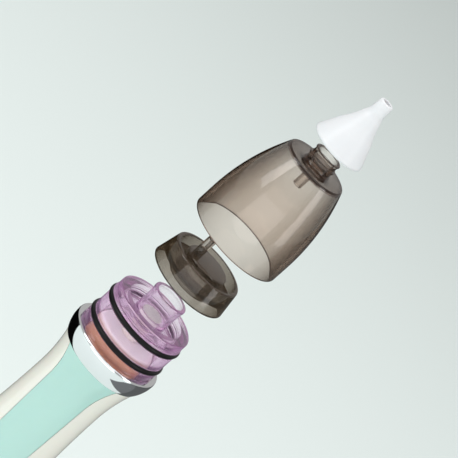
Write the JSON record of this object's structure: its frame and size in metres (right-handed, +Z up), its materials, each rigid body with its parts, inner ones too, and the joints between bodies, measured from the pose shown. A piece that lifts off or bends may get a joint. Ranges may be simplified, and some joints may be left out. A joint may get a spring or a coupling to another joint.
{
  "type": "nasal aspirator",
  "caption": "Cordless nasal aspirator with a soft nozzle, clear smoke cup, splash baffle, sealed air manifold, chrome collar and a slim handle with pump, motor and cell.",
  "frame": {"origin": "middle of the flat base, where the rubber foot meets the table", "axes": "+Z up along the common axis of handle, cup and nozzle; the panel with the button faces -Y; +X is to the right seen from the front"},
  "size_m": [0.04, 0.04, 0.2624],
  "materials": {
    "silicone_white": "soft satin silicone, faintly translucent",
    "cup_smoke": "clear smoke-brown plastic, polished",
    "baffle_smoke": "darker olive-brown smoke plastic, polished",
    "chimney_clear": "clear grey-brown plastic tube",
    "manifold_lilac": "clear plastic with a lilac tint, polished",
    "seal_black": "black seal rubber",
    "chrome": "polished",
    "body_cream": "cream white, glossy",
    "panel_mint": "pale mint, glossy",
    "button_mint": "pale mint, satin",
    "light_clear": "frosted clear",
    "foot_grey": "matt grey rubber",
    "cover_cream": "matt cream rubber",
    "boot_amber": "amber silicone",
    "hose_clear": "milky silicone",
    "filter_white": "white felt",
    "pump_white": "moulded off-white plastic",
    "pump_black": "moulded black plastic",
    "diaphragm_rubber": "black rubber",
    "steel": "plain steel",
    "motor_steel": "zinc-plated steel",
    "magnet_grey": "dark sintered ferrite",
    "copper": "enamelled copper",
    "brass": "plain brass",
    "bronze": "sintered bronze",
    "carbon": "carbon",
    "cell_wrap": "green heat-shrink sleeve",
    "nickel": "nickel strip",
    "board_green": "green solder mask",
    "chip_black": "moulded black",
    "lead_red": "red insulation",
    "lead_black": "black insulation"
  },
  "bodies": {
    "handle": {"air_manifold": "manifold_lilac", "upper_o_ring": "seal_black", "lower_o_ring": "seal_black", "filter_disc": "filter_white", "collar_ring": "chrome", "front_shell": "body_cream", "rear_shell": "body_cream", "front_panel": "panel_mint", "light_guide": "light_clear", "indicator_leds": "light_clear", "tact_switch": "chip_black", "main_board": "board_green", "board_chips": "chip_black", "inner_frame": "pump_white", "battery_cell": "cell_wrap", "battery_tab_lower": "nickel", "battery_tab_upper": "nickel", "battery_leads": "lead_red", "motor_leads": "lead_black", "charge_leads": "lead_red", "charge_board": "board_green", "charge_chip": "chip_black", "charging_socket": "steel", "base_cap": "body_cream", "base_foot": "foot_grey", "base_screws": "steel", "case_screws": "steel", "motor_can": "motor_steel", "motor_end_cap": "pump_black", "motor_bearing_upper": "bronze", "motor_bearing_lower": "bronze", "motor_magnets": "magnet_grey", "motor_brushes": "carbon", "motor_terminals": "brass", "pump_base": "pump_black", "motor_mount_screws": "steel", "diaphragm_holder": "pump_black", "diaphragm": "diaphragm_rubber", "valve_plate": "pump_white", "inlet_valves": "diaphragm_rubber", "outlet_valve": "diaphragm_rubber", "pump_head": "pump_white", "pump_screws": "steel", "suction_hose": "hose_clear", "pump_boot": "boot_amber"},
    "baffle": {"splash_baffle": "baffle_smoke", "chimney_tube": "chimney_clear"},
    "cup": {"mucus_cup": "cup_smoke"},
    "nozzle": {"nozzle_tip": "silicone_white"},
    "button": {"power_button": "button_mint"},
    "cover": {"port_cover": "cover_cream"},
    "rotor": {"motor_shaft": "steel", "armature_core": "steel", "armature_coils": "copper", "commutator": "copper", "eccentric": "pump_white", "crank_pin": "steel"},
    "rocker": {"rocker": "pump_black"}
  },
  "joints": [
    {"name": "baffle_pull", "type": "slide", "parent": "handle", "child": "baffle", "axis": [0, 0, 1], "range_m": [-0.01697, 0]},
    {"name": "cup_pull", "type": "slide", "parent": "baffle", "child": "cup", "axis": [0, 0, 1], "range_m": [-0.04469, 0]},
    {"name": "nozzle_pull", "type": "slide", "parent": "cup", "child": "nozzle", "axis": [0, 0, 1], "range_m": [-0.01014, 0]},
    {"name": "button_press", "type": "slide", "parent": "handle", "child": "button", "axis": [0, 1, 0], "range_m": [0, 0.0006], "stiffness_N_per_m": 1500, "springref_m": -0.0006},
    {"name": "port_cover_swing", "type": "hinge", "parent": "handle", "child": "cover", "pos_m": [0, 0.01605, 0.00845], "axis": [-1, 0, 0], "range_deg": [0, 100]},
    {"name": "motor_spin", "type": "hinge", "parent": "handle", "child": "rotor", "pos_m": [0, 0, 0.09], "axis": [0, 0, 1], "continuous": true},
    {"name": "rocker_wobble", "type": "hinge", "parent": "rotor", "child": "rocker", "pos_m": [0, 0, 0.112], "axis": [0.0698, 0, 0.9976], "continuous": true}
  ],
  "couplings": [
    {"joint": "rocker_wobble", "follows": "motor_spin", "ratio": -1}
  ]
}
